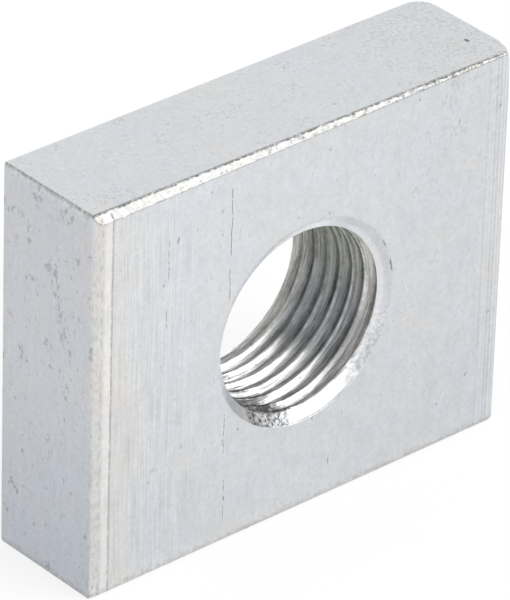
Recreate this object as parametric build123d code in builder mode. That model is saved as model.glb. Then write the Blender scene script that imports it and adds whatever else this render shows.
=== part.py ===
from build123d import *
import os

# T slot nut: a plain plate cut from drawn flat bar, drilled, countersunk and tapped through its
# thickness. One solid. It stands on one long narrow side, with the thread lying across it.
#
# Frame: the origin is on the thread's axis, halfway through the plate. +X runs along the plate's
# width, +Y through it from the front face to the back face, and +Z up along the drawn bar.

os.makedirs("parts", exist_ok=True)

# Flat bar, and the length sawn off it
BAR_WIDTH = 40.0
BAR_THICKNESS = 10.3
CUT_LENGTH = 31.8

# The bar's own long corners, seen in its cross-section
FRONT_RIGHT_RADIUS = 0.85
BACK_RIGHT_RADIUS = 1.65
BACK_LEFT_RADIUS = 0.45
# the front left corner is a worn flat, wide on the front face and shallow on the side
WORN_FLAT_WIDTH = 1.7
WORN_FLAT_DEPTH = 0.2
WORN_SIDE_RADIUS = 0.27
WORN_FRONT_RADIUS = 2.5

# Deburring of the two sawn ends
TOP_BREAK = 0.1
BASE_BREAK = 0.25
# the top front edge is filed to a flat that tapers from the left end to the right end
FILED_DROP_LEFT = 0.72
FILED_DROP_RIGHT = 0.18
FILED_SLOPE = 0.74  # width on the top face for each unit of drop on the front face
CUT_OVERRUN = 1.0  # how far the filing cut passes outside the bar

# Thread G 3/8: 19 turns to the inch, and the bore is its minor diameter
THREAD_MAJOR_DIAMETER = 16.662
THREAD_PITCH = 25.4 / 19
MINOR_DEPTH_PER_PITCH = 0.640327
BORE_RADIUS = THREAD_MAJOR_DIAMETER / 2 - MINOR_DEPTH_PER_PITCH * THREAD_PITCH
# the bore is drilled halfway across the bar, and this far below halfway up the cut length
BORE_BELOW_MIDDLE = 0.15

# Countersinks, alike on both faces: how much wider they open than the thread's major diameter,
# and their included angle
SINK_ALLOWANCE = 0.238
SINK_DIAMETER = THREAD_MAJOR_DIAMETER + SINK_ALLOWANCE
SINK_ANGLE = 120

# Places worked out from the sizes
LEFT_SIDE = -BAR_WIDTH / 2
RIGHT_SIDE = BAR_WIDTH / 2
FRONT = -BAR_THICKNESS / 2
BACK = BAR_THICKNESS / 2
BASE = -CUT_LENGTH / 2 + BORE_BELOW_MIDDLE
TOP = CUT_LENGTH / 2 + BORE_BELOW_MIDDLE

with BuildPart() as slot_nut:
    # cross-section of the drawn bar, each corner with its own radius
    with BuildSketch(Plane.XY.offset(BASE)):
        with BuildLine():
            FilletPolyline(
                (LEFT_SIDE + WORN_FLAT_WIDTH, FRONT),
                (RIGHT_SIDE, FRONT),
                (RIGHT_SIDE, BACK),
                (LEFT_SIDE, BACK),
                (LEFT_SIDE, FRONT + WORN_FLAT_DEPTH),
                radius=(
                    WORN_FRONT_RADIUS,
                    FRONT_RIGHT_RADIUS,
                    BACK_RIGHT_RADIUS,
                    BACK_LEFT_RADIUS,
                    WORN_SIDE_RADIUS,
                ),
                close=True,
            )
        make_face()
    extrude(amount=CUT_LENGTH)

    # both sawn ends, broken all round
    chamfer(slot_nut.faces().sort_by(Axis.Z)[-1].edges(), TOP_BREAK)
    chamfer(slot_nut.faces().sort_by(Axis.Z)[0].edges(), BASE_BREAK)

    # tapered flat filed along the front top edge: a wedge between a large and a small triangle,
    # whose long side is the flat, and whose other two sides lie clear of the bar
    for side, drop in ((LEFT_SIDE, FILED_DROP_LEFT), (RIGHT_SIDE, FILED_DROP_RIGHT)):
        with BuildSketch(Plane.YZ.offset(side)):
            with BuildLine():
                Polyline(
                    (FRONT - CUT_OVERRUN, TOP - drop - CUT_OVERRUN / FILED_SLOPE),
                    (FRONT + (drop + CUT_OVERRUN) * FILED_SLOPE, TOP + CUT_OVERRUN),
                    (FRONT - CUT_OVERRUN, TOP + CUT_OVERRUN),
                    close=True,
                )
            make_face()
    loft(mode=Mode.SUBTRACT)

    # tapping hole through the thickness, countersunk from both faces
    for face, outward in ((FRONT, -1), (BACK, 1)):
        with Locations(Plane(origin=(0, face, 0), x_dir=(-outward, 0, 0), z_dir=(0, outward, 0))):
            CounterSinkHole(BORE_RADIUS, SINK_DIAMETER / 2, counter_sink_angle=SINK_ANGLE)

slot_nut.part.label = "slot_nut"
export_step(slot_nut.part, "parts/slot_nut.step")
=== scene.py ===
import math
import bmesh
import bpy
from mathutils import Matrix, Vector


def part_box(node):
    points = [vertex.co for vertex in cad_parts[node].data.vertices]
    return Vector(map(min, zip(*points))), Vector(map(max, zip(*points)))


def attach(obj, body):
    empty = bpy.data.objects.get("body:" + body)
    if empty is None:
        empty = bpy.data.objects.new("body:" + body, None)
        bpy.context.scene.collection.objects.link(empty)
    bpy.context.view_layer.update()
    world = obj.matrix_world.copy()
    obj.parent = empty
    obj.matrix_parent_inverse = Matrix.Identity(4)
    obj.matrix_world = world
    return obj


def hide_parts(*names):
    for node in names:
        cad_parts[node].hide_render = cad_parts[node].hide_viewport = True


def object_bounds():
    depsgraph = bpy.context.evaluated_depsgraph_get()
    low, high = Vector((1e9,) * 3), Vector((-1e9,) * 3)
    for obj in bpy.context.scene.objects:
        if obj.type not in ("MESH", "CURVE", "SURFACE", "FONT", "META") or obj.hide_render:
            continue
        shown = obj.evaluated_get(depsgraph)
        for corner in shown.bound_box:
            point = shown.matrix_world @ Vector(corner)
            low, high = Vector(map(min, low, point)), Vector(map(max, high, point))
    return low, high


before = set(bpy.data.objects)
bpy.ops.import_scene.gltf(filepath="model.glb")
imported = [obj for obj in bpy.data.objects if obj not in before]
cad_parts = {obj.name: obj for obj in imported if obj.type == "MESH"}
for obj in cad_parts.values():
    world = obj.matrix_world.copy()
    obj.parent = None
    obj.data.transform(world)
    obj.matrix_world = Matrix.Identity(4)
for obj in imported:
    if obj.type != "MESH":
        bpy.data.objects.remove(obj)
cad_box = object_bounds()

# ---------------------------------------------------------------------------------------------
# Camera: a long lens looking down on the nut from its front left, turned a little clockwise.
MM = 0.001
CAMERA_AZIMUTH = -41.930
CAMERA_ELEVATION = 31.015
CAMERA_ROLL = 1.840
CAMERA_DISTANCE = 455.47 * MM
CAMERA_TARGET = Vector((-4.835, -5.15, 3.931)) * MM
CAMERA_SENSOR = 36.0
CAMERA_LENS = 6339.7 * CAMERA_SENSOR / 600

lens = bpy.data.cameras.new("camera")
lens.sensor_width = CAMERA_SENSOR
lens.lens = CAMERA_LENS
camera = bpy.data.objects.new("camera", lens)
bpy.context.scene.collection.objects.link(camera)
turned = (
    Matrix.Rotation(math.radians(CAMERA_AZIMUTH), 4, "Z")
    @ Matrix.Rotation(math.radians(90 - CAMERA_ELEVATION), 4, "X")
    @ Matrix.Rotation(math.radians(CAMERA_ROLL), 4, "Z")
)
place = CAMERA_TARGET + turned.to_3x3() @ Vector((0, 0, CAMERA_DISTANCE))
camera.matrix_world = Matrix.Translation(place) @ turned
bpy.context.scene.camera = camera
bpy.context.scene.view_settings.view_transform = "Standard"

# ---------------------------------------------------------------------------------------------
# Floor: a pale matt sweep that shows as white, and keeps a soft shadow under the nut.
FLOOR_SIZE = 6.0
FLOOR_COLOUR = (0.86, 0.86, 0.86, 1)
FLOOR_WHITE_SHARE = 0.76

bpy.ops.object.select_all(action="DESELECT")
bpy.ops.mesh.primitive_plane_add(size=FLOOR_SIZE, location=(0, 0, cad_box[0].z))
floor = bpy.context.object
floor.name = "floor"
paper = bpy.data.materials.new("white_paper")
paper.use_nodes = True
nodes, links = paper.node_tree.nodes, paper.node_tree.links
nodes["Principled BSDF"].inputs["Base Color"].default_value = FLOOR_COLOUR
nodes["Principled BSDF"].inputs["Roughness"].default_value = 0.9
nodes["Principled BSDF"].inputs["Specular IOR Level"].default_value = 0.0
white = nodes.new("ShaderNodeEmission")
white.inputs["Color"].default_value = (1, 1, 1, 1)
path = nodes.new("ShaderNodeLightPath")
seen = nodes.new("ShaderNodeMath")
seen.operation = "MAXIMUM"
links.new(path.outputs["Is Camera Ray"], seen.inputs[0])
links.new(path.outputs["Is Glossy Ray"], seen.inputs[1])
seen_or_through = nodes.new("ShaderNodeMath")
seen_or_through.operation = "MAXIMUM"
links.new(seen.outputs[0], seen_or_through.inputs[0])
links.new(path.outputs["Is Transmission Ray"], seen_or_through.inputs[1])
share = nodes.new("ShaderNodeMath")
share.operation = "MULTIPLY"
share.inputs[1].default_value = FLOOR_WHITE_SHARE
links.new(seen_or_through.outputs[0], share.inputs[0])
mix = nodes.new("ShaderNodeMixShader")
links.new(share.outputs[0], mix.inputs["Fac"])
links.new(nodes["Principled BSDF"].outputs["BSDF"], mix.inputs[1])
links.new(white.outputs["Emission"], mix.inputs[2])
links.new(mix.outputs["Shader"], nodes["Material Output"].inputs["Surface"])
floor.data.materials.append(paper)

# ---------------------------------------------------------------------------------------------
# Light: a white room all round, and one large softbox to the right of the camera.
ROOM_STRENGTH = 0.99
SOFTBOX_DISTANCE = 0.60
SOFTBOX_AZIMUTH = 27
SOFTBOX_ELEVATION = 25
SOFTBOX_WIDTH = 0.46
SOFTBOX_HEIGHT = 0.40
SOFTBOX_RADIANCE = 4.2

world = bpy.data.worlds.new("white_room")
world.use_nodes = True
world.node_tree.nodes["Background"].inputs["Color"].default_value = (1, 1, 1, 1)
world.node_tree.nodes["Background"].inputs["Strength"].default_value = ROOM_STRENGTH
bpy.context.scene.world = world


def softbox(name, azimuth, elevation, distance, width, height, radiance):
    """A rectangular lamp facing the nut, as bright per unit of its surface as radiance says."""
    lamp = bpy.data.lights.new(name, "AREA")
    lamp.shape = "RECTANGLE"
    lamp.size, lamp.size_y = width, height
    lamp.energy = radiance * math.pi * width * height
    box = bpy.data.objects.new(name, lamp)
    bpy.context.scene.collection.objects.link(box)
    facing = Matrix.Rotation(math.radians(azimuth), 4, "Z") @ Matrix.Rotation(
        math.radians(90 - elevation), 4, "X"
    )
    box.matrix_world = Matrix.Translation(facing.to_3x3() @ Vector((0, 0, distance))) @ facing
    return box


softbox(
    "front_softbox", SOFTBOX_AZIMUTH, SOFTBOX_ELEVATION, SOFTBOX_DISTANCE,
    SOFTBOX_WIDTH, SOFTBOX_HEIGHT, SOFTBOX_RADIANCE,
)

# ---------------------------------------------------------------------------------------------
# Plate: 40 x 10.3 mm cold drawn flat bar, sawn to length. The bar's long corners each have their
# own wear, the base is broken with a file all round, and the front top edge is filed to a flat
# that runs out towards the right. It is modelled in millimetres and brought to metres at the end.
low, high = (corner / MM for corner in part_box("slot_nut"))
LEFT, FRONT, BASE = low
RIGHT, BACK, TOP = high
BACK_LEFT_RADIUS = 0.45
FRONT_RIGHT_RADIUS = 0.85
BACK_RIGHT_RADIUS = 1.65
WORN_FLAT_WIDTH = 1.72
WORN_FLAT_DEPTH = 0.13
# a second, steeper wear facet runs out down the same corner
WORN_EDGE_WIDTH = 0.75
WORN_EDGE_DEPTH = 0.42
WORN_EDGE_RUN_OUT = 30.0
TOP_BREAK = 0.1
# the saw left the top end's left edge a little drawn in
TOP_LEFT_INSET = 0.28
TOP_LEFT_DROP = 0.65
# the right front corner is knocked back near the top: where each facet starts below the top, and
# how far in it reaches at the top
CORNER_FACETS = ((4.2, 0.13), (1.3, 0.24), (0.55, 0.42))
CORNER_FACING = (0.744, -0.668)
# behind those facets the corner is drawn in a little along the top end
CORNER_DRAWN_FROM = 2.1
CORNER_DRAWN_TURN = 0.268
CORNER_DRAWN_LEAN = 0.35
BASE_BREAK = 0.28
FILED_DROP_LEFT = 0.68
FILED_DROP_RIGHT = 0.10
FILED_SLOPE = 0.66
# the file threw up a burr behind the flat, with a narrow groove at its foot
GROOVE_WIDTH = 0.17
GROOVE_DEPTH = 0.05
GROOVE_LINES = (0.15, 0.5, 1.0)
GROOVE_MIDDLE = GROOVE_LINES[1]
# one line is scored along the filed flat, this share of the way up it
FILED_LINE = 0.45
FILED_STEP = 0.25
FACE_STEP = 1.0
WORN_STEP = 0.3
# how far from the front, the top and the left side the finer scoring reaches
FINE_FRONT, FINE_TOP, FINE_LEFT = 1.2, 2.0, 3.0
NEAR = 0.01
ON_FACE = 0.004
CUT_TOLERANCE = 1e-5


def pick(kind, test):
    """Selects in edit mode the vertices, edges or faces for which test is true, and no others."""
    bpy.ops.mesh.select_mode(type=kind)
    bpy.ops.mesh.select_all(action="DESELECT")
    shape = bmesh.from_edit_mesh(bpy.context.edit_object.data)
    parts = {"VERT": shape.verts, "EDGE": shape.edges, "FACE": shape.faces}[kind]
    for part in parts:
        if test(part):
            part.select_set(True)
    shape.select_flush_mode()
    bmesh.update_edit_mesh(bpy.context.edit_object.data)


def upright_at(x, y):
    """Test for an edge that runs along Z at x, y."""
    return lambda edge: all(
        abs(v.co.x - x) < NEAR and abs(v.co.y - y) < NEAR for v in edge.verts
    )


def shave(point, outward):
    """Cuts off what lies on the outward side of a plane, and closes the cut."""
    bpy.ops.mesh.select_all(action="SELECT")
    bpy.ops.mesh.bisect(
        plane_co=point, plane_no=outward, use_fill=True, clear_outer=True, threshold=CUT_TOLERANCE
    )


def score(point, across, test):
    """Cuts along a plane the faces for which test is true."""
    pick("FACE", test)
    bpy.ops.mesh.bisect(plane_co=point, plane_no=across, threshold=CUT_TOLERANCE)


def steps(start, end, step):
    """Evenly spaced places between two ends, both ends left out."""
    count = max(2, round((end - start) / step))
    return [start + (end - start) * i / count for i in range(1, count)]


bpy.ops.object.select_all(action="DESELECT")
bpy.ops.mesh.primitive_cube_add(size=1, location=(low + high) / 2, scale=high - low)
nut = bpy.context.object
nut.name = "threaded_slot_nut"
bpy.ops.object.transform_apply(location=True, rotation=True, scale=True)
bpy.ops.object.mode_set(mode="EDIT")
for x, y, radius in (
    (LEFT, BACK, BACK_LEFT_RADIUS),
    (RIGHT, FRONT, FRONT_RIGHT_RADIUS),
    (RIGHT, BACK, BACK_RIGHT_RADIUS),
):
    pick("EDGE", upright_at(x, y))
    bpy.ops.mesh.bevel(offset=radius, segments=7, affect="EDGES")
shave((LEFT, FRONT + WORN_FLAT_DEPTH, 0), (-WORN_FLAT_DEPTH, -WORN_FLAT_WIDTH, 0))
worn_across = Vector((WORN_EDGE_WIDTH, -WORN_EDGE_DEPTH, 0))
worn_down = Vector((0, -WORN_EDGE_DEPTH + WORN_FLAT_DEPTH, -WORN_EDGE_RUN_OUT))
shave((LEFT, FRONT + WORN_EDGE_DEPTH, TOP), worn_down.cross(worn_across).normalized())
pick("EDGE", lambda edge: all(abs(v.co.z - BASE) < NEAR for v in edge.verts))
bpy.ops.mesh.bevel(offset=BASE_BREAK, segments=3, affect="EDGES")
pick("EDGE", lambda edge: all(abs(v.co.z - TOP) < NEAR for v in edge.verts))
bpy.ops.mesh.bevel(offset=TOP_BREAK, segments=2, affect="EDGES")
shave((LEFT + TOP_LEFT_INSET, 0, TOP), (-TOP_LEFT_DROP, 0, TOP_LEFT_INSET))
# the middle of the rounded corner lies this far in from both faces
reach = FRONT_RIGHT_RADIUS * (1 - math.sqrt(0.5))
for below, inset in CORNER_FACETS:
    shave((RIGHT - reach, FRONT + reach, TOP - below), (*CORNER_FACING, inset / below))
shave((RIGHT, FRONT + CORNER_DRAWN_FROM, TOP), (1, -CORNER_DRAWN_TURN, CORNER_DRAWN_LEAN))
filed_along = Vector((RIGHT - LEFT, 0, FILED_DROP_LEFT - FILED_DROP_RIGHT))
filed_across = Vector((0, FILED_SLOPE, 1))
filed_normal = filed_along.cross(filed_across).normalized()
shave((LEFT, FRONT, TOP - FILED_DROP_LEFT), filed_normal)

# the groove behind the flat follows its back edge: three scored lines, the middle one let down
groove_run = Vector((RIGHT - LEFT, (FILED_DROP_RIGHT - FILED_DROP_LEFT) * FILED_SLOPE, 0))
groove_across = Vector((-groove_run.y, groove_run.x, 0)).normalized()
filed_back_left = Vector((LEFT, FRONT + FILED_DROP_LEFT * FILED_SLOPE, TOP))
for share in GROOVE_LINES:
    score(
        filed_back_left + groove_across * (GROOVE_WIDTH * share),
        groove_across,
        lambda face: face.normal.z > 0.5 and face.calc_center_median().z > TOP - 0.2,
    )


def beside_flat(v, share):
    """Whether a vertex of the top face lies on one of the groove's scored lines."""
    away = (v.co - filed_back_left).dot(groove_across)
    return v.co.z > TOP - 0.02 and abs(away - GROOVE_WIDTH * share) < ON_FACE


# the long faces are scored into strips, fine along the filed edge, so that wear can shape them
for z in steps(BASE + BASE_BREAK, TOP - FILED_DROP_LEFT, FACE_STEP):
    score((0, 0, z), (0, 0, 1), lambda face: True)
for y in steps(FRONT + FILED_DROP_LEFT, BACK, FACE_STEP):
    score((0, y, 0), (0, 1, 0), lambda face: True)
for x in steps(LEFT, RIGHT, FACE_STEP):
    score((x, 0, 0), (1, 0, 0), lambda face: True)
score(
    Vector((LEFT, FRONT, TOP - FILED_DROP_LEFT)) + filed_across * FILED_DROP_LEFT * FILED_LINE,
    filed_along.cross(filed_normal),
    lambda face: face.normal.dot(filed_normal) > 0.999,
)
for x in steps(LEFT, RIGHT, FILED_STEP):
    score(
        (x, 0, 0),
        (1, 0, 0),
        lambda face: abs(face.calc_center_median().x - x) < FACE_STEP
        and face.calc_center_median().z > TOP - FINE_TOP
        and face.calc_center_median().y < FRONT + FINE_FRONT,
    )
for z in steps(BASE + BASE_BREAK, TOP - FILED_DROP_LEFT, WORN_STEP):
    score(
        (0, 0, z),
        (0, 0, 1),
        lambda face: abs(face.calc_center_median().z - z) < FACE_STEP
        and face.calc_center_median().x < LEFT + FINE_LEFT
        and face.calc_center_median().y < FRONT + FINE_FRONT,
    )
pick("VERT", lambda v: beside_flat(v, GROOVE_MIDDLE))
bpy.ops.transform.translate(value=(0, 0, -GROOVE_DEPTH))
bpy.ops.object.mode_set(mode="OBJECT")


def filed_drop(x):
    """How far the filed flat reaches down the front face at x."""
    return FILED_DROP_LEFT + (FILED_DROP_RIGHT - FILED_DROP_LEFT) * (x - LEFT) / (RIGHT - LEFT)


def rag(name, direction, travel, grain, weight):
    """Moves the vertices to which weight gives a share to and fro along one axis, by noise."""
    places = nut.vertex_groups.new(name=name)
    for vertex in nut.data.vertices:
        share = weight(vertex.co)
        if share > 0:
            places.add([vertex.index], share, "REPLACE")
    noise = bpy.data.textures.new(name, "CLOUDS")
    noise.noise_scale = grain
    noise.noise_depth = 2
    moved = nut.modifiers.new(name, "DISPLACE")
    moved.texture = noise
    moved.texture_coords = "LOCAL"
    moved.direction = direction
    moved.mid_level = 0.5
    moved.strength = travel
    moved.vertex_group = name
    bpy.ops.object.modifier_apply(modifier=name)
    nut.vertex_groups.remove(nut.vertex_groups[name])
    bpy.data.textures.remove(noise)


rag(
    "filed_lower_border", "Z", travel=0.36, grain=0.30,
    weight=lambda at: (abs(at.y - FRONT) < ON_FACE and abs(at.z - TOP + filed_drop(at.x)) < 0.01)
    * filed_drop(at.x) / FILED_DROP_LEFT,
)
rag(
    "filed_back_border", "Y", travel=0.12, grain=0.9,
    weight=lambda at: (at.z > TOP - 0.09
    and abs(at.y - FRONT - filed_drop(at.x) * FILED_SLOPE - 0.08) < 0.13)
    * filed_drop(at.x) / FILED_DROP_LEFT,
)
rag(
    "filed_face", "Y", travel=0.10, grain=0.22,
    weight=lambda at: (FRONT + 0.02 < at.y and abs(at.x) < RIGHT - 0.3
    and abs((at - Vector((LEFT, FRONT, TOP - FILED_DROP_LEFT))).dot(filed_normal)) < ON_FACE
    and at.z < TOP - 0.02) * filed_drop(at.x) / FILED_DROP_LEFT,
)
rag(
    "worn_right_border", "X", travel=0.42, grain=0.45,
    weight=lambda at: float(abs(at.y - FRONT) < ON_FACE and abs(at.x - LEFT - WORN_FLAT_WIDTH) < 0.01
    and BASE + 0.6 < at.z < TOP - 1.0),
)
rag(
    "worn_left_border", "Y", travel=0.30, grain=0.30,
    weight=lambda at: float(abs(at.x - LEFT) < ON_FACE and at.y < FRONT + 0.6
    and BASE + 0.6 < at.z < TOP - 1.0),
)

# ---------------------------------------------------------------------------------------------
# Thread: G 3/8, right-hand, 19 turns to the inch, with 55 degree flanks and rounded roots. A tap
# of the same form is screwed out of one pitch of profile, and cuts it from the plate.
THREAD_PITCH = 25.4 / 19
THREAD_MAJOR_RADIUS = 16.662 / 2
THREAD_DEPTH = 0.640327 * THREAD_PITCH
BORE_RADIUS = THREAD_MAJOR_RADIUS - THREAD_DEPTH
FLANK_ANGLE = math.radians(55) / 2
FLANK_RUN = THREAD_DEPTH * math.tan(FLANK_ANGLE)
LAND = THREAD_PITCH / 2 - FLANK_RUN
# where along Y the middle of a thread's crest lies on the bore's right side
CREST_PLACE = -0.603
ROOT_ROUNDING = 0.09
TAP_TURNS = 10
TAP_STEPS = 180
# each countersink: its radius and middle in the face, how much narrower it gets for each
# millimetre of depth, and how far its middle moves. The front one was cut leaning downwards.
FRONT_SINK = (8.43, (0.20, 0.15), 1.90, (-0.190, -0.408))
BACK_SINK = (8.45, (0.0, 0.0), 1.732, (0.0, 0.0))
SINK_OVERRUN = 0.5
SINK_STEPS = 216
# a small turn keeps the countersinks' corners off the tap's
SINK_TURN = math.radians(0.37)
# the groove opens into the countersink at its top, and starts under it at its bottom
THREAD_START = 0.27
THREAD_START_SLOPE = 0.0475
# the thread's mouth is a little tight, and off to the right and up, as far as these two depths
MOUTH_SHIFT = (0.13, 0.12)
MOUTH_TIGHTER = 0.02
MOUTH_DEEP, MOUTH_GONE = 0.8, 2.2
MERGE = 1e-4
# faces that meet at less than this angle are shaded as one surface
SMOOTH_BELOW = math.radians(20)

bpy.ops.object.select_all(action="DESELECT")
bpy.ops.mesh.primitive_plane_add(size=1, location=(0, 0, 0))
tap = bpy.context.object
tap.name = "tap"
bpy.ops.object.mode_set(mode="EDIT")
pick("VERT", lambda v: v.index != 0)
bpy.ops.mesh.delete(type="VERT")
bpy.ops.mesh.select_all(action="SELECT")
start = bmesh.from_edit_mesh(tap.data).verts[:][0].co.copy()
first_turn = CREST_PLACE - THREAD_PITCH * (TAP_TURNS // 2)
bpy.ops.transform.translate(value=Vector((BORE_RADIUS, first_turn, 0)) - start)
for along, out in (
    (LAND / 2, 0),
    (FLANK_RUN, THREAD_DEPTH),
    (LAND, 0),
    (FLANK_RUN, -THREAD_DEPTH),
    (LAND / 2, 0),
):
    bpy.ops.mesh.extrude_region_move(TRANSFORM_OT_translate={"value": (out, along, 0)})
pick("VERT", lambda v: len(v.link_edges) == 2)
bpy.ops.mesh.bevel(offset=ROOT_ROUNDING, segments=3, affect="VERTICES")
bpy.ops.object.mode_set(mode="OBJECT")
turns = tap.modifiers.new("turns", "SCREW")
turns.axis = "Y"
turns.angle = math.tau
turns.screw_offset = THREAD_PITCH
turns.iterations = TAP_TURNS
turns.steps = turns.render_steps = TAP_STEPS
turns.use_merge_vertices = True
turns.merge_threshold = MERGE
bpy.ops.object.modifier_apply(modifier="turns")
bpy.ops.object.mode_set(mode="EDIT")
bpy.ops.mesh.select_all(action="SELECT")
bpy.ops.mesh.remove_doubles(threshold=MERGE)
for end in (-1, 1):
    pick("EDGE", lambda edge: edge.is_boundary and edge.verts[0].co.y * end > 0)
    bpy.ops.mesh.extrude_region_move(TRANSFORM_OT_translate={"value": (0, end * 0.5, 0)})
    bpy.ops.mesh.merge(type="CENTER")
bpy.ops.mesh.select_all(action="SELECT")
bpy.ops.mesh.normals_make_consistent(inside=False)
shave((0, FRONT + THREAD_START, 0), (0, -1, -THREAD_START_SLOPE))
bpy.ops.object.mode_set(mode="OBJECT")
for vertex in tap.data.vertices:
    share = (FRONT + MOUTH_GONE - vertex.co.y) / (MOUTH_GONE - MOUTH_DEEP)
    share = min(1.0, max(0.0, share))
    share = share * share * (3 - 2 * share)
    away = math.hypot(vertex.co.x, vertex.co.z)
    if share > 0 and away > 0.1:
        tighter = 1 - MOUTH_TIGHTER * share / away
        vertex.co.x = vertex.co.x * tighter + MOUTH_SHIFT[0] * share
        vertex.co.z = vertex.co.z * tighter + MOUTH_SHIFT[1] * share

cutters = [tap]
for side, sink in ((-1, FRONT_SINK), (1, BACK_SINK)):
    radius, (middle_x, middle_z), rise, (lean_x, lean_z) = sink
    wide = radius + SINK_OVERRUN * rise
    depth = wide / rise
    base_x, base_z = middle_x - lean_x * SINK_OVERRUN, middle_z - lean_z * SINK_OVERRUN
    bpy.ops.object.select_all(action="DESELECT")
    bpy.ops.mesh.primitive_cone_add(
        vertices=SINK_STEPS, radius1=wide, radius2=0, depth=depth,
        location=(base_x, side * (BACK + SINK_OVERRUN - depth / 2), base_z),
        rotation=(side * math.radians(90), SINK_TURN, 0),
    )
    bpy.context.object.name = "countersink"
    bpy.ops.object.transform_apply(location=True, rotation=True, scale=True)
    bpy.ops.object.mode_set(mode="EDIT")
    pick("VERT", lambda v: v.co.y * side < BACK - 0.1)
    bpy.ops.transform.translate(value=(lean_x * depth, 0, lean_z * depth))
    bpy.ops.object.mode_set(mode="OBJECT")
    cutters.append(bpy.context.object)

bpy.ops.object.select_all(action="DESELECT")
nut.select_set(True)
bpy.context.view_layer.objects.active = nut
for cutter in cutters:
    cut = nut.modifiers.new("cut", "BOOLEAN")
    cut.operation = "DIFFERENCE"
    cut.solver = "EXACT"
    cut.object = cutter
    bpy.ops.object.modifier_apply(modifier="cut")
    bpy.data.objects.remove(cutter)

bpy.ops.object.mode_set(mode="EDIT")
bpy.ops.mesh.select_all(action="SELECT")
bpy.ops.mesh.remove_doubles(threshold=MERGE)
bpy.ops.mesh.dissolve_degenerate(threshold=MERGE)
bpy.ops.mesh.select_all(action="SELECT")
bpy.ops.mesh.normals_make_consistent(inside=False)
bpy.ops.object.mode_set(mode="OBJECT")

bpy.ops.transform.resize(value=(MM, MM, MM), center_override=(0, 0, 0))
bpy.ops.object.transform_apply(location=True, rotation=True, scale=True)
bpy.ops.object.shade_smooth_by_angle(angle=SMOOTH_BELOW)
even = nut.modifiers.new("even", "WEIGHTED_NORMAL")
even.keep_sharp = True
bpy.ops.object.modifier_apply(modifier="even")

# ---------------------------------------------------------------------------------------------
# Finish: clear zinc plate over drawn steel. The drawing left fine lines along the bar, the sawn
# ends are tumbled and scuffed, the corners have worn bright, and swarf, oil and painted shade darken
# the thread. Painted light and shade also lie on the plate and in the countersink.
STEEL = (0.672, 0.684, 0.700)
# the thread's steel is darker, partly for bare steel and partly as painted shade, and its roots take
# grime and painted shade
THREAD_STEEL = (0.43, 0.43, 0.415)
ROOT_GRIME_AND_SHADE = (0.045, 0.046, 0.045)
FLANK_PAINTED_LIGHT = (0.60, 0.60, 0.585)
ENTRY_PAINTED_LIGHT = (0.82, 0.81, 0.785)
LOW_SIDE_PAINTED_LIGHT = (0.72, 0.72, 0.715)
DRIED_OIL = (0.045, 0.046, 0.047)
# faint tints: a painted bluish reflection on the plating's left side, bare metal, and the thread's top
# and bottom
LEFT_REFLECTION_TINT = (0.994, 0.998, 1.012)
LOW_LEFT_REFLECTION_TINT = (0.99, 1.0, 1.035)
BARE_TINT = (1.035, 1.0, 0.955)
HIGH_THREAD_TINT = (0.96, 1.0, 0.93)
LOW_THREAD_TINT = (0.95, 0.98, 1.03)
BUMP_DEPTH = 0.02
# seams of the front face: where across, from where to where up it, width, wander and breaks
SEAMS = (
    (-7.25, 8.4, 14.2, 0.06, 0.26, 0.42),
    (-7.30, 4.8, 7.6, 0.06, 0.30, 0.46),
    (-7.45, -8.2, -4.6, 0.055, 0.30, 0.47),
    (-7.35, -14.0, -10.2, 0.05, 0.30, 0.49),
    (-13.1, 8.4, 12.0, 0.05, 0.20, 0.47),
    (-13.2, 4.6, 6.3, 0.05, 0.20, 0.45),
    (2.9, -13.2, -12.4, 0.07, 0.10, 0.30),
)
# a broken line of flaking runs down the worn corner, this far from the left side
WORN_DASHES = 0.80
# the top end's one pit is a little longer towards the back than across
PIT_PLACE = (18.08, -1.92)
PIT_NARROWING = 0.6


def add(tree, kind, *feeds, **settings):
    """Adds a node, and feeds each named or numbered input with a value or another node's output."""
    made = tree.nodes.new("ShaderNode" + kind)
    for name, value in settings.items():
        setattr(made, name, value)
    for place, feed in feeds:
        if isinstance(feed, bpy.types.NodeSocket):
            tree.links.new(feed, made.inputs[place])
        else:
            made.inputs[place].default_value = feed
    return made


def calc(tree, operation, *terms):
    """One step of arithmetic."""
    return add(tree, "Math", *enumerate(terms), operation=operation).outputs[0]


def fade(tree, value, start, end, low=0.0, high=1.0):
    """Goes smoothly from low to high as the value goes from start to end."""
    return add(
        tree, "MapRange", ("Value", value), ("From Min", start), ("From Max", end),
        ("To Min", low), ("To Max", high), interpolation_type="SMOOTHSTEP",
    ).outputs["Result"]


def stretch(tree, place, scale, shift=(0, 0, 0)):
    """The place, scaled along each axis and shifted."""
    return add(
        tree, "Mapping", ("Vector", place), ("Location", shift), ("Scale", scale)
    ).outputs["Vector"]


def grain(tree, place, scale, detail=2.0, roughness=0.5, **settings):
    """Smooth noise from 0 to 1 at a place."""
    return add(
        tree, "TexNoise", ("Vector", place), ("Scale", scale), ("Detail", detail),
        ("Roughness", roughness), **settings,
    ).outputs["Fac"]


def ripple(tree, along, scale, detail=2.0, roughness=0.5):
    """Smooth noise from 0 to 1 along one line."""
    return add(
        tree, "TexNoise", ("W", along), ("Scale", scale), ("Detail", detail),
        ("Roughness", roughness), noise_dimensions="1D",
    ).outputs["Fac"]


def parts_of(tree, place):
    """The three parts of a vector."""
    return add(tree, "SeparateXYZ", ("Vector", place)).outputs[:]


def blend(tree, share, under, over, kind="MIX"):
    """Lays one colour over another."""
    made = add(
        tree, "Mix", (0, share), (6, under), (7, over), data_type="RGBA", blend_type=kind
    )
    return made.outputs[2]


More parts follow.
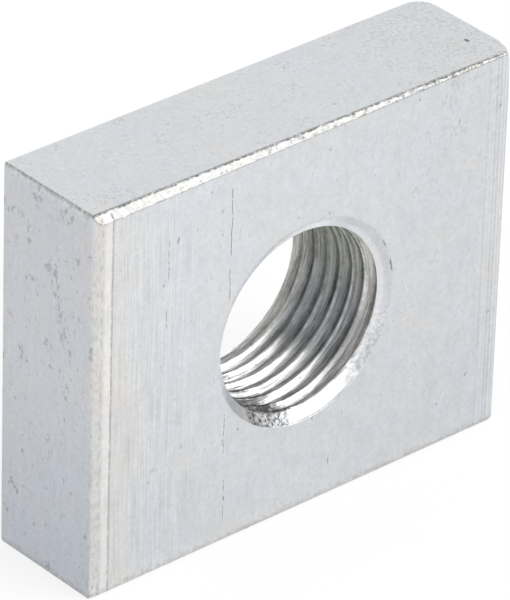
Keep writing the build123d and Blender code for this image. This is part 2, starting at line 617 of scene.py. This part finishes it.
def new_group(name, takes, gives):
    """An empty node group: its tree, what it takes in, and what it gives out."""
    tree = bpy.data.node_groups.new(name, "ShaderNodeTree")
    for label, kind, value in takes:
        socket = tree.interface.new_socket(
            name=label, in_out="INPUT", socket_type="NodeSocket" + kind
        )
        socket.default_value = value
    for label, kind in gives:
        tree.interface.new_socket(name=label, in_out="OUTPUT", socket_type="NodeSocket" + kind)
    return tree, tree.nodes.new("NodeGroupInput").outputs, tree.nodes.new("NodeGroupOutput").inputs


def use(tree, group, *feeds):
    """Puts a node group in a tree, and gives its outputs."""
    return add(tree, "Group", *feeds, node_tree=group).outputs


NOWHERE = (0.0, 0.0, 0.0)

# fine lines along the bar, left by the drawing die
drawing_lines, taken, given = new_group(
    "drawing_lines",
    [("Place", "Vector", NOWHERE), ("Spacing", "Float", 0.3), ("Run", "Float", 30.0)],
    [("Lines", "Float"), ("Streaks", "Float")],
)
x, y, z = parts_of(drawing_lines, taken["Place"])
around = calc(drawing_lines, "DIVIDE", calc(drawing_lines, "ADD", x, y), taken["Spacing"])
along = calc(drawing_lines, "DIVIDE", z, taken["Run"])
line_place = add(drawing_lines, "CombineXYZ", ("X", around), ("Y", along)).outputs[0]
drawing_lines.links.new(
    grain(drawing_lines, line_place, 1.0, 1.0, noise_dimensions="2D"), given["Lines"]
)
streak_place = stretch(drawing_lines, line_place, (0.22, 2.5, 1), (31, 7, 0))
drawing_lines.links.new(
    grain(drawing_lines, streak_place, 1.0, 2.0, noise_dimensions="2D"), given["Streaks"]
)

# dark pinholes and specks in the plating, some of them dragged out along the bar
pinholes, taken, given = new_group(
    "pinholes",
    [
        ("Place", "Vector", NOWHERE), ("Per Millimetre", "Float", 1.0),
        ("Size", "Float", 0.2), ("Share", "Float", 0.3),
    ],
    [("Specks", "Float")],
)
wobble = grain(pinholes, taken["Place"], 4.0, 1.0)
bent = add(
    pinholes, "VectorMath", (0, wobble), (1, (0.5, -0.4, 0.7)), (2, taken["Place"]),
    operation="MULTIPLY_ADD",
).outputs[0]
cells = add(pinholes, "TexVoronoi", ("Vector", bent), ("Scale", taken["Per Millimetre"]))
chance, size_draw, _ = parts_of(pinholes, cells.outputs["Color"])
reach = calc(pinholes, "MULTIPLY", taken["Size"], calc(pinholes, "POWER", size_draw, 2.0))
inside = fade(pinholes, cells.outputs["Distance"], reach, calc(pinholes, "MULTIPLY", reach, 0.35))
kept = calc(pinholes, "LESS_THAN", chance, taken["Share"])
pinholes.links.new(calc(pinholes, "MULTIPLY", inside, kept), given["Specks"])

# fine dark flecks and short nicks, in patches, from tumbling against other nuts
tumbling, taken, given = new_group(
    "tumbling_scuffs",
    [("Place", "Vector", NOWHERE), ("Scale", "Float", 1.0), ("Share", "Float", 0.5)],
    [("Scuffs", "Float"), ("Smears", "Float")],
)
nicks = grain(
    tumbling, stretch(tumbling, taken["Place"], (1.5, 1.0, 0.55)),
    calc(tumbling, "MULTIPLY", taken["Scale"], 4.2), 4.0, 0.72,
)
smears = grain(
    tumbling, stretch(tumbling, taken["Place"], (1, 1, 1), (17, 3, 41)),
    calc(tumbling, "MULTIPLY", taken["Scale"], 0.85), 4.0, 0.65,
)
edge = calc(tumbling, "MULTIPLY_ADD", taken["Share"], -0.25, 0.70)
patches = fade(tumbling, smears, edge, calc(tumbling, "ADD", edge, 0.14), 0.0, 0.14)
scuffs = fade(tumbling, calc(tumbling, "ADD", nicks, patches), 0.62, 0.70)
tumbling.links.new(scuffs, given["Scuffs"])
tumbling.links.new(smears, given["Smears"])

# broad faint tints in the plating: bluish, greenish and warm
plating_tint, taken, given = new_group(
    "plating_tint",
    [("Place", "Vector", NOWHERE), ("Colour", "Color", (1, 1, 1, 1)), ("Strength", "Float", 1.0)],
    [("Colour", "Color")],
)
warm = fade(plating_tint, grain(plating_tint, taken["Place"], 0.22, 3.0), 0.42, 0.66)
green_place = stretch(plating_tint, taken["Place"], (1, 1, 1), (53, 11, 29))
green = fade(plating_tint, grain(plating_tint, green_place, 0.30, 3.0), 0.45, 0.70)
light_place = stretch(plating_tint, taken["Place"], (1, 1, 1), (7, 67, 3))
light = grain(plating_tint, light_place, 0.55, 4.0, 0.6)
shade = blend(plating_tint, warm, (0.982, 0.993, 1.012, 1), (1.012, 0.998, 0.985, 1))
shade = blend(plating_tint, green, shade, (0.985, 1.004, 0.998, 1))
light = fade(plating_tint, light, 0.3, 0.7)
shade = blend(plating_tint, light, shade, (1.02, 1.02, 1.02, 1), "MULTIPLY")
tinted = blend(plating_tint, taken["Strength"], taken["Colour"], shade, "MULTIPLY")
plating_tint.links.new(tinted, given["Colour"])

# wear along the box's edges: full at the edge, ragged, and gone at the given width
edge_wear, taken, given = new_group(
    "edge_wear",
    [
        ("Place", "Vector", NOWHERE), ("Middle", "Vector", NOWHERE), ("Half Size", "Vector", NOWHERE),
        ("Width", "Float", 0.4),
    ],
    [("Wear", "Float")],
)
from_middle = add(
    edge_wear, "VectorMath", (0, taken["Place"]), (1, taken["Middle"]), operation="SUBTRACT"
).outputs[0]
from_middle = add(edge_wear, "VectorMath", (0, from_middle), operation="ABSOLUTE").outputs[0]
inset = parts_of(
    edge_wear,
    add(
        edge_wear, "VectorMath", (0, taken["Half Size"]), (1, from_middle), operation="SUBTRACT"
    ).outputs[0],
)
pairs = [calc(edge_wear, "MAXIMUM", inset[i], inset[(i + 1) % 3]) for i in range(3)]
nearest = calc(edge_wear, "MINIMUM", calc(edge_wear, "MINIMUM", pairs[0], pairs[1]), pairs[2])
ragged = calc(
    edge_wear, "MULTIPLY_ADD", grain(edge_wear, taken["Place"], 1.6, 4.0, 0.65), -1.0, nearest
)
edge_wear.links.new(
    fade(
        edge_wear, calc(edge_wear, "ADD", ragged, 0.5), taken["Width"],
        calc(edge_wear, "MULTIPLY", taken["Width"], -0.3),
    ),
    given["Wear"],
)

# a dark hairline along the bar that wanders a little, and breaks up
hairline, taken, given = new_group(
    "hairline",
    [
        ("Place", "Vector", NOWHERE), ("Across", "Float", 0.0), ("Bottom", "Float", 0.0),
        ("Top", "Float", 1.0), ("Width", "Float", 0.05), ("Wander", "Float", 0.15),
        ("Breaks", "Float", 0.5),
    ],
    [("Line", "Float"), ("Lit Side", "Float")],
)
x, y, z = parts_of(hairline, taken["Place"])
along = calc(hairline, "MULTIPLY_ADD", taken["Across"], 7.3, z)
sway = calc(hairline, "SUBTRACT", ripple(hairline, along, 0.45, 3.0, 0.6), 0.5)
off = calc(hairline, "SUBTRACT", x, taken["Across"])
off = calc(hairline, "SUBTRACT", off, calc(hairline, "MULTIPLY", sway, taken["Wander"]))
near = fade(hairline, calc(hairline, "ABSOLUTE", off), taken["Width"], 0.0)
gaps = ripple(hairline, along, 2.2, 2.0, 0.7)
gaps = fade(hairline, gaps, calc(hairline, "SUBTRACT", taken["Breaks"], 0.06), taken["Breaks"])
ends = calc(
    hairline, "MULTIPLY",
    fade(hairline, z, taken["Bottom"], calc(hairline, "ADD", taken["Bottom"], 0.3)),
    fade(hairline, z, taken["Top"], calc(hairline, "SUBTRACT", taken["Top"], 0.3)),
)
there = calc(hairline, "MULTIPLY", gaps, ends)
hairline.links.new(calc(hairline, "MULTIPLY", near, there), given["Line"])
beside = calc(hairline, "SUBTRACT", off, calc(hairline, "MULTIPLY", taken["Width"], 1.6))
lit = fade(hairline, calc(hairline, "ABSOLUTE", beside), taken["Width"], 0.0)
hairline.links.new(calc(hairline, "MULTIPLY", lit, there), given["Lit Side"])


def new_metal(name):
    """A metal: its node tree, its shader, and the place and facing on the nut, in millimetres."""
    metal = bpy.data.materials.new(name)
    metal.use_nodes = True
    tree = metal.node_tree
    where = tree.nodes.new("ShaderNodeTexCoord")
    place = stretch(tree, where.outputs["Object"], (1 / MM, 1 / MM, 1 / MM))
    shader = tree.nodes["Principled BSDF"]
    shader.inputs["Metallic"].default_value = 1.0
    return metal, tree, shader, place, where.outputs["Normal"]


def bump(tree, shader, height, depth):
    """Raises the surface by depth millimetres where the height is 1."""
    made = add(tree, "Bump", ("Strength", 1.0), ("Distance", depth * MM), ("Height", height))
    tree.links.new(made.outputs["Normal"], shader.inputs["Normal"])


def total(tree, *terms):
    """The sum of several values, each with its own weight."""
    summed = 0.0
    for value, weight in terms:
        summed = calc(tree, "MULTIPLY_ADD", value, weight, summed)
    return summed


def beside(tree, *terms):
    """How far a place is from the line where the sum of the weighted values is 0."""
    return calc(tree, "ABSOLUTE", total(tree, *terms))


def overlap(tree, *masks):
    """Where several masks lie over each other."""
    shared = masks[0]
    for mask in masks[1:]:
        shared = calc(tree, "MULTIPLY", shared, mask)
    return shared


def topmost(tree, *masks):
    """The strongest of several masks."""
    most = masks[0]
    for mask in masks[1:]:
        most = calc(tree, "MAXIMUM", most, mask)
    return most


def swing(tree, noise):
    """How far noise is above or below its middle."""
    return calc(tree, "SUBTRACT", noise, 0.5)


def away_from(tree, across, up):
    """The distance from the point where both values are 0."""
    return calc(
        tree, "SQRT",
        calc(tree, "ADD", calc(tree, "MULTIPLY", across, across), calc(tree, "MULTIPLY", up, up)),
    )


def grey(tree, tone):
    """A grey as bright as the tone."""
    return add(tree, "CombineColor", ("Red", tone), ("Green", tone), ("Blue", tone)).outputs[0]


# the plate's outside
zinc, tree, shader, place, facing = new_metal("zinc_plated_steel_surface")
x, y, z = parts_of(tree, place)
end_face = calc(tree, "GREATER_THAN", calc(tree, "ABSOLUTE", parts_of(tree, facing)[2]), 0.7)
drawn_face = calc(tree, "SUBTRACT", 1.0, end_face)
on_front = calc(tree, "LESS_THAN", y, FRONT + 0.3)
on_left = fade(tree, x, LEFT + 0.25, LEFT + 0.05)

# the drawing lines are deepest in a band beside the worn corner
lines = use(tree, drawing_lines, ("Place", place), ("Spacing", 0.12), ("Run", 7.0))
left_band = overlap(tree, fade(tree, x, -8.5, -13.0), fade(tree, x, -19.0, -18.0))
line_depth = overlap(tree, calc(tree, "MULTIPLY_ADD", left_band, 0.92, 0.08), drawn_face)
line_tone = overlap(tree, swing(tree, lines["Lines"]), line_depth)
streak_tone = overlap(tree, swing(tree, lines["Streaks"]), drawn_face)

# the die's own scratches run the whole length beside the right corner
right_band = overlap(tree, fade(tree, x, 17.2, 17.7), drawn_face)
die_lines = ripple(tree, calc(tree, "MULTIPLY_ADD", z, 0.004, x), 3.6, 1.0)
die_tone = overlap(tree, swing(tree, die_lines), right_band)

# pinholes, and the finer dots between them
specks = use(
    tree, pinholes, ("Place", stretch(tree, place, (1.2, 1.2, 0.75))), ("Per Millimetre", 0.8),
    ("Size", 0.16), ("Share", 0.45),
)["Specks"]
dots = use(
    tree, pinholes, ("Place", stretch(tree, place, (1, 1, 1), (19, 5, 43))),
    ("Per Millimetre", 2.0), ("Size", 0.24), ("Share", 0.30),
)["Specks"]

# the left side is the most scuffed, above all along a run from its middle towards the front
upper_side = overlap(tree, on_left, fade(tree, z, -7.0, 3.0, 0.09, 0.28))
scuff_off = beside(tree, (y, 0.955), (z, -0.297), (1.0, 3.41))
scuff_run = beside(tree, (z, 1.0), (1.0, -7.2))
deep_scuff = overlap(
    tree, fade(tree, scuff_off, 0.8, 0.1), fade(tree, scuff_run, 3.4, 2.0), on_left
)
scuffed_front = overlap(tree, fade(tree, x, 8.0, 14.0), fade(tree, z, 0.0, 8.0))
scuffed = total(
    tree, (upper_side, 1.0), (deep_scuff, 1.0), (scuffed_front, 0.42), (end_face, 0.26),
    (1.0, 0.52),
)
marks = use(tree, tumbling, ("Place", place), ("Scale", 0.75), ("Share", scuffed))
scuff_weight = calc(tree, "MULTIPLY_ADD", on_left, -0.10, -0.13)
smear_weight = calc(tree, "MULTIPLY_ADD", end_face, 0.12, 0.12)
fleck_off = swing(tree, grain(tree, place, 3.0, 4.0, 0.7))

# the saw left the top end's left edge dark and ragged, and the broken edge of the base is painted
# darker, as painted shade
from_edge = topmost(tree, calc(tree, "SUBTRACT", x, LEFT), calc(tree, "SUBTRACT", TOP, z))
sawn_edge = fade(tree, total(tree, (from_edge, 1.0), (fleck_off, 1.3)), 0.38, 0.10)
from_base = total(tree, (z, 1.0), (fleck_off, 1.6), (1.0, -BASE))
base_edge_shade = overlap(tree, fade(tree, from_base, 0.75, 0.15), drawn_face)

# painted shade: the plate is brightest at the front's upper left, and painted darker towards the
# right, lower down and on the left side, most of all low on the left side
left_side_low_shade = overlap(tree, on_left, fade(tree, z, TOP - 14.0, BASE))
painted_shade_gradient = total(
    tree, (fade(tree, x, -15.0, 17.0), 0.065), (fade(tree, z, TOP - 8.0, BASE), 0.04),
    (left_side_low_shade, 0.08), (on_left, 0.10),
)
painted_shade_gradient = overlap(tree, painted_shade_gradient, drawn_face)
wear = use(
    tree, edge_wear, ("Place", place), ("Middle", (low + high) / 2),
    ("Half Size", (high - low) / 2), ("Width", 0.30),
)["Wear"]
colour = use(
    tree, plating_tint, ("Place", place), ("Colour", (*STEEL, 1)), ("Strength", 1.0)
)["Colour"]
tone = total(
    tree, (line_tone, 0.34), (streak_tone, 0.07), (die_tone, 0.42), (specks, -0.42),
    (dots, -0.30), (marks["Scuffs"], scuff_weight), (swing(tree, marks["Smears"]), smear_weight),
    (fleck_off, 0.32), (wear, 0.04), (sawn_edge, -0.24), (base_edge_shade, -0.15), (painted_shade_gradient, -1.0),
    (1.0, 1.0),
)

# seam lines and short die scratches of the front face
seams = 0.0
seams_lit = 0.0
for across, bottom, top, width, wander, breaks in SEAMS:
    seam = use(
        tree, hairline, ("Place", place), ("Across", across), ("Bottom", bottom), ("Top", top),
        ("Width", width), ("Wander", wander), ("Breaks", breaks),
    )
    seams = calc(tree, "MAXIMUM", seams, seam["Line"])
    seams_lit = calc(tree, "MAXIMUM", seams_lit, seam["Lit Side"])
seams = overlap(tree, seams, on_front)
seams_lit = overlap(tree, seams_lit, on_front)

# the filed flat is coarse and pale, and a painted shade line lies in the groove at the foot of the
# burr behind it
drop = calc(
    tree, "MULTIPLY_ADD", calc(tree, "SUBTRACT", x, LEFT),
    (FILED_DROP_RIGHT - FILED_DROP_LEFT) / (RIGHT - LEFT), FILED_DROP_LEFT,
)
depth = calc(tree, "SUBTRACT", y, FRONT)
behind = calc(tree, "MULTIPLY_ADD", drop, -FILED_SLOPE, depth)
chatter = grain(tree, stretch(tree, place, (1, 1.6, 1.6)), 2.2, 5.0, 0.75)
chatter_off = swing(tree, chatter)
off_flat = total(tree, (depth, 1.0), (drop, -FILED_SLOPE), (z, -FILED_SLOPE), (1.0, TOP * FILED_SLOPE))
filed = fade(tree, off_flat, 0.075, 0.035)
burr_groove_shade = beside(tree, (behind, 1.0), (chatter_off, 0.42), (1.0, -0.10))
burr_groove_shade = overlap(
    tree, fade(tree, burr_groove_shade, 0.17, 0.07), fade(tree, z, TOP - 0.14, TOP - 0.06),
    fade(tree, chatter, 0.40, 0.54, 0.30, 1.0),
)
file_marks = calc(tree, "ADD", chatter, fade(tree, x, -8.0, 14.0, 0.0, 0.06))
file_marks = overlap(tree, filed, fade(tree, file_marks, 0.55, 0.68))

# the worn corner: flaking at its left, rubbed bright at its right, and dark broken borders
flaking = grain(tree, stretch(tree, place, (1.9, 1.9, 0.55)), 2.7, 5.0, 0.75)
flaking_off = swing(tree, flaking)
worn_place = total(tree, (x, 1.0), (flaking_off, 0.5), (1.0, -LEFT))
worn = overlap(tree, fade(tree, worn_place, 1.78, 1.60), on_front)
rubbed = overlap(
    tree, fade(tree, worn_place, 0.95, 1.12), fade(tree, worn_place, 1.70, 1.56), on_front
)
flakes = overlap(
    tree, fade(tree, worn_place, 1.05, 0.80), fade(tree, flaking, 0.46, 0.60), on_front
)
dashes = beside(tree, (x, 1.0), (flaking_off, 0.20), (1.0, -LEFT - WORN_DASHES))
dashes = overlap(tree, fade(tree, dashes, 0.11, 0.03), fade(tree, flaking, 0.46, 0.56), on_front)
border = beside(tree, (x, 1.0), (flaking_off, 0.25), (1.0, -LEFT - WORN_FLAT_WIDTH))
border = overlap(
    tree, fade(tree, border, 0.13, 0.03), on_front, fade(tree, flaking, 0.38, 0.54, 0.25, 1.0)
)

# the dark line along the top end's left edge
left_edge = beside(tree, (x, 1.0), (chatter_off, 0.12), (1.0, -LEFT - TOP_LEFT_INSET + 0.02))
left_edge = overlap(
    tree, fade(tree, left_edge, 0.13, 0.03), fade(tree, z, TOP - 0.3, TOP),
    fade(tree, flaking, 0.36, 0.50, 0.35, 1.0),
)

# one round pit near the top end's right edge
pit = away_from(
    tree, calc(tree, "SUBTRACT", x, PIT_PLACE[0]),
    calc(tree, "MULTIPLY_ADD", y, PIT_NARROWING, -PIT_PLACE[1] * PIT_NARROWING),
)
pit = overlap(tree, fade(tree, pit, 0.20, 0.11), fade(tree, z, TOP - 0.3, TOP - 0.1))

# the countersink: its rim chipped dark in places, and a patch of grit low on the left
sink_radius, (sink_x, sink_z), _, _ = FRONT_SINK
rim_radius = away_from(
    tree, calc(tree, "SUBTRACT", x, sink_x), calc(tree, "SUBTRACT", z, sink_z)
)
chips = grain(tree, stretch(tree, place, (1, 1, 0.6), (3, 9, 27)), 1.0, 4.0, 0.7)
rim = beside(tree, (rim_radius, 1.0), (swing(tree, chips), 0.3), (1.0, -sink_radius - 0.05))
rim_side = overlap(tree, fade(tree, x, 7.2, 7.9), fade(tree, z, 0.9, 1.4))
rim = overlap(
    tree, fade(tree, rim, 0.10, 0.03), fade(tree, chips, 0.50, 0.60),
    calc(tree, "MULTIPLY_ADD", rim_side, 0.80, 0.20),
)
in_sink = fade(tree, rim_radius, sink_radius + 0.01, sink_radius - 0.05)
sink_grit = grain(tree, stretch(tree, place, (1, 1, 1), (91, 2, 7)), 3.2, 5.0, 0.8)
low_left = overlap(
    tree, fade(tree, x, -0.3, -1.5), fade(tree, x, -5.3, -4.5), fade(tree, z, -4.4, -5.8)
)
low_right = overlap(tree, fade(tree, x, 4.2, 5.2), fade(tree, z, -0.5, -2.5))
sink_patch = total(tree, (low_right, 0.52), (low_left, 1.0), (1.0, 0.06))
grit = overlap(tree, in_sink, fade(tree, sink_grit, 0.38, 0.62), sink_patch)
# painted light and shade on the countersink: its top, its lower left, its foot and its rim below are
# painted darker, the rim as the shade of a rounded edge, and its lip on the right and its lower right
# are painted lighter
sink_top = overlap(
    tree, fade(tree, z, 6.6, 7.6), fade(tree, x, 4.0, 2.0), fade(tree, rim_radius, 7.9, 8.2)
)
sink_left = overlap(tree, fade(tree, x, -3.5, -5.5), fade(tree, z, 1.0, -2.0))
sink_lip = overlap(tree, fade(tree, rim_radius, 8.0, 7.65), fade(tree, x, 2.0, 5.0))
sink_rim = overlap(
    tree, fade(tree, rim_radius, 8.24, 8.34), fade(tree, z, -4.0, -6.0),
    fade(tree, x, -1.2, 0.2), fade(tree, x, 5.6, 4.0),
)
sink_foot = fade(tree, z, -2.5, -5.5)
# and its upper left is painted lighter, a painted reflection, and made less metallic and a little
# smoother
sink_upper_left_reflection = overlap(tree, fade(tree, calc(tree, "SUBTRACT", x, z), -3.0, -7.0), in_sink)
sink_painted_light_and_shade = total(
    tree, (sink_top, -0.20), (sink_left, -0.13), (sink_lip, 0.17), (sink_rim, -0.38),
    (sink_foot, -0.20), (low_right, 0.14), (1.0, -0.02),
)

# dark marks on the plate, together with the painted shade line in the burr's groove
dark = 0.0
for mask, share in (
    (seams, 0.72), (burr_groove_shade, 0.58), (border, 0.34), (rim, 0.62), (grit, 0.66), (left_edge, 0.40),
    (file_marks, 0.42), (flakes, 0.13), (dashes, 0.24), (pit, 0.66),
):
    dark = calc(tree, "MAXIMUM", dark, calc(tree, "MULTIPLY", mask, share))
tone = overlap(tree, tone, calc(tree, "SUBTRACT", 1.0, dark))
tone = total(
    tree, (tone, 1.0), (seams_lit, 0.10), (rubbed, 0.12), (filed, -0.20), (sink_upper_left_reflection, 0.10),
    (overlap(tree, in_sink, sink_painted_light_and_shade), 1.0),
)
colour = blend(tree, 1.0, colour, grey(tree, tone), "MULTIPLY")

# the left side is painted bluish, a painted reflection, more so lower down, and bare and rubbed metal,
# dark marks and the base edge's painted shade are warmer
warm_side = calc(
    tree, "MULTIPLY", overlap(tree, fade(tree, x, -14.0, -18.0), on_front), 0.75
)
warmth = topmost(tree, worn, filed, warm_side, dark, base_edge_shade)
low_left_reflection = overlap(tree, on_left, fade(tree, z, 6.0, -12.0))
colour = blend(tree, on_left, colour, (*LEFT_REFLECTION_TINT, 1), "MULTIPLY")
colour = blend(tree, low_left_reflection, colour, (*LOW_LEFT_REFLECTION_TINT, 1), "MULTIPLY")
colour = blend(tree, warmth, colour, (*BARE_TINT, 1), "MULTIPLY")
tree.links.new(colour, shader.inputs["Base Color"])
rough = total(
    tree, (marks["Smears"], 0.16), (specks, 0.25), (wear, -0.05), (marks["Scuffs"], 0.10),
    (dark, 0.15), (filed, 0.22), (sink_upper_left_reflection, -0.12), (1.0, 0.33),
)
tree.links.new(rough, shader.inputs["Roughness"])
tree.links.new(calc(tree, "MULTIPLY_ADD", sink_upper_left_reflection, -0.6, 1.0), shader.inputs["Metallic"])
height = total(
    tree, (overlap(tree, lines["Lines"], line_depth), 0.35), (specks, -0.8),
    (overlap(tree, die_lines, right_band), 0.6), (marks["Scuffs"], -0.35),
    (overlap(tree, filed, chatter), 1.6), (overlap(tree, in_sink, sink_grit), 0.6),
)
bump(tree, shader, height, BUMP_DEPTH)

# the tapped thread: darker, partly as bare steel and partly as painted shade, with swarf, oil and
# painted shade in its roots, and painted shade and highlight lines along its crests
tapped, tree, shader, place, facing = new_metal("tapped_thread_surface")
x, y, z = parts_of(tree, place)
radius = away_from(tree, x, z)
# streaks run along the thread: they vary fast up its flanks and along its lead, and slowly round it
turned = calc(tree, "ARCTAN2", z, x)
lead = calc(tree, "MULTIPLY_ADD", turned, THREAD_PITCH / math.tau, y)
streak_place = add(
    tree, "CombineXYZ", ("X", total(tree, (radius, 12.0), (lead, 12.0))),
    ("Y", calc(tree, "MULTIPLY", x, 0.28)), ("Z", calc(tree, "MULTIPLY", z, 0.28)),
).outputs[0]
streaks = grain(tree, streak_place, 1.0, 4.0, 0.75)
mottle = grain(tree, place, 1.3, 5.0, 0.72)
mottle_off = swing(tree, mottle)
thread_specks = use(
    tree, pinholes, ("Place", place), ("Per Millimetre", 2.0), ("Size", 0.36), ("Share", 0.5)
)["Specks"]
# painted light: the thread is painted lighter near each face, and darker deeper in the bore
from_face = calc(tree, "SUBTRACT", BACK, calc(tree, "ABSOLUTE", y))
near_face_painted_light = fade(tree, from_face, 2.6, 0.9)

# the low side is painted lighter, a painted highlight broken by darker streaks, with less grime and
# painted shade in its roots, apart from dried oil at its left, just inside the front
across = calc(tree, "DIVIDE", x, radius)
low_side = fade(tree, z, 0.0, -2.0)
low_side_painted_light = overlap(tree, low_side, fade(tree, across, 0.72, 0.42))
outside_low_light = calc(tree, "SUBTRACT", 1.0, low_side_painted_light)
dried_place = total(tree, (across, 1.0), (y, 0.045), (mottle_off, 0.7), (1.0, 0.10))
dried_depth = total(tree, (y, 1.0), (mottle_off, 6.0))
dried = overlap(
    tree, fade(tree, z, -2.2, -4.2), fade(tree, dried_place, 0.0, -0.20),
    fade(tree, dried_depth, 0.5, -2.5),
    fade(tree, calc(tree, "ADD", mottle, streaks), 0.84, 1.06, 0.22, 1.0),
)
low_side_streaks = overlap(
    tree, fade(tree, streaks, 0.54, 0.42), fade(tree, across, 0.4, -0.3, 0.3, 1.0), low_side
)

# each crest has a painted shade line along its back edge and a painted highlight along its front edge
phase = calc(tree, "MULTIPLY_ADD", lead, 1 / THREAD_PITCH, 0.5 - CREST_PLACE / THREAD_PITCH)
phase = swing(tree, calc(tree, "FRACT", phase))
crest_back_shade = fade(tree, beside(tree, (phase, 1.0), (1.0, -0.060)), 0.085, 0.04)
crest_front_highlight = overlap(
    tree, fade(tree, beside(tree, (phase, 1.0), (1.0, 0.085)), 0.05, 0.02),
    fade(tree, mottle, 0.4, 0.6),
)
# painted shade and grime darken the roots, less near each face and on the low side
root_start = calc(tree, "MULTIPLY_ADD", mottle_off, 0.5, 7.95)
root = fade(tree, radius, root_start, calc(tree, "ADD", root_start, 0.50))
root_grime_and_shade = overlap(
    tree, root, calc(tree, "MULTIPLY_ADD", near_face_painted_light, -0.25, 0.50),
    calc(tree, "MULTIPLY_ADD", low_side_painted_light, -0.75, 1.0),
)

metal = use(
    tree, plating_tint, ("Place", stretch(tree, place, (2.2, 2.2, 2.2))),
    ("Colour", (*THREAD_STEEL, 1)), ("Strength", 1.0),
)["Colour"]
# painted light: the flanks are painted lighter than the crests
flank_painted_light = calc(tree, "MULTIPLY", fade(tree, radius, 7.5, 8.0), 0.7)
metal = blend(tree, flank_painted_light, metal, (*FLANK_PAINTED_LIGHT, 1))
metal = blend(tree, fade(tree, z, -3.0, 4.0), metal, (*HIGH_THREAD_TINT, 1), "MULTIPLY")
metal = blend(tree, fade(tree, z, 2.0, -3.0), metal, (*LOW_THREAD_TINT, 1), "MULTIPLY")
metal = blend(tree, calc(tree, "MULTIPLY", near_face_painted_light, 0.85), metal, (*ENTRY_PAINTED_LIGHT, 1))
metal = blend(tree, calc(tree, "MULTIPLY", low_side_painted_light, 0.85), metal, (*LOW_SIDE_PAINTED_LIGHT, 1))
metal = blend(tree, root_grime_and_shade, metal, (*ROOT_GRIME_AND_SHADE, 1))
metal = blend(tree, calc(tree, "MULTIPLY", dried, 0.95), metal, (*DRIED_OIL, 1))
streak_weight = fade(tree, z, -3.0, 4.0, 2.2, 3.6)
tone = total(
    tree, (swing(tree, streaks), streak_weight), (mottle_off, 0.55), (thread_specks, -0.35),
    (crest_back_shade, -0.66), (crest_front_highlight, 0.30), (1.0, 1.0),
)
tone = overlap(tree, tone, calc(tree, "MULTIPLY_ADD", low_side_streaks, -0.80, 1.0))
metal = blend(tree, 1.0, metal, grey(tree, tone), "MULTIPLY")
tree.links.new(metal, shader.inputs["Base Color"])
rough = total(
    tree, (streaks, 0.14), (root, 0.12), (thread_specks, 0.2), (outside_low_light, 0.16), (dried, 0.3),
    (1.0, 0.28),
)
tree.links.new(rough, shader.inputs["Roughness"])
height = total(tree, (streaks, 1.4), (mottle, 0.8), (thread_specks, -0.8))
bump(tree, shader, height, BUMP_DEPTH)

nut.data.materials.clear()
nut.data.materials.append(zinc)
nut.data.materials.append(tapped)


def on_thread(face):
    """Whether a face lies in the bore and not on a countersink."""
    centre = face.calc_center_median() / MM
    if math.hypot(centre.x, centre.z) > THREAD_MAJOR_RADIUS + 0.01 or abs(centre.y) > BACK - 0.01:
        return False
    radius, middle, rise, lean = FRONT_SINK if centre.y < 0 else BACK_SINK
    depth = BACK - abs(centre.y)
    cone_x, cone_z = (middle[i] + lean[i] * depth for i in (0, 1))
    return math.hypot(centre.x - cone_x, centre.z - cone_z) > radius - rise * depth + 0.02


bpy.ops.object.mode_set(mode="EDIT")
pick("FACE", on_thread)
nut.active_material_index = 1
bpy.ops.object.material_slot_assign()
bpy.ops.object.mode_set(mode="OBJECT")

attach(nut, "root")
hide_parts("slot_nut")
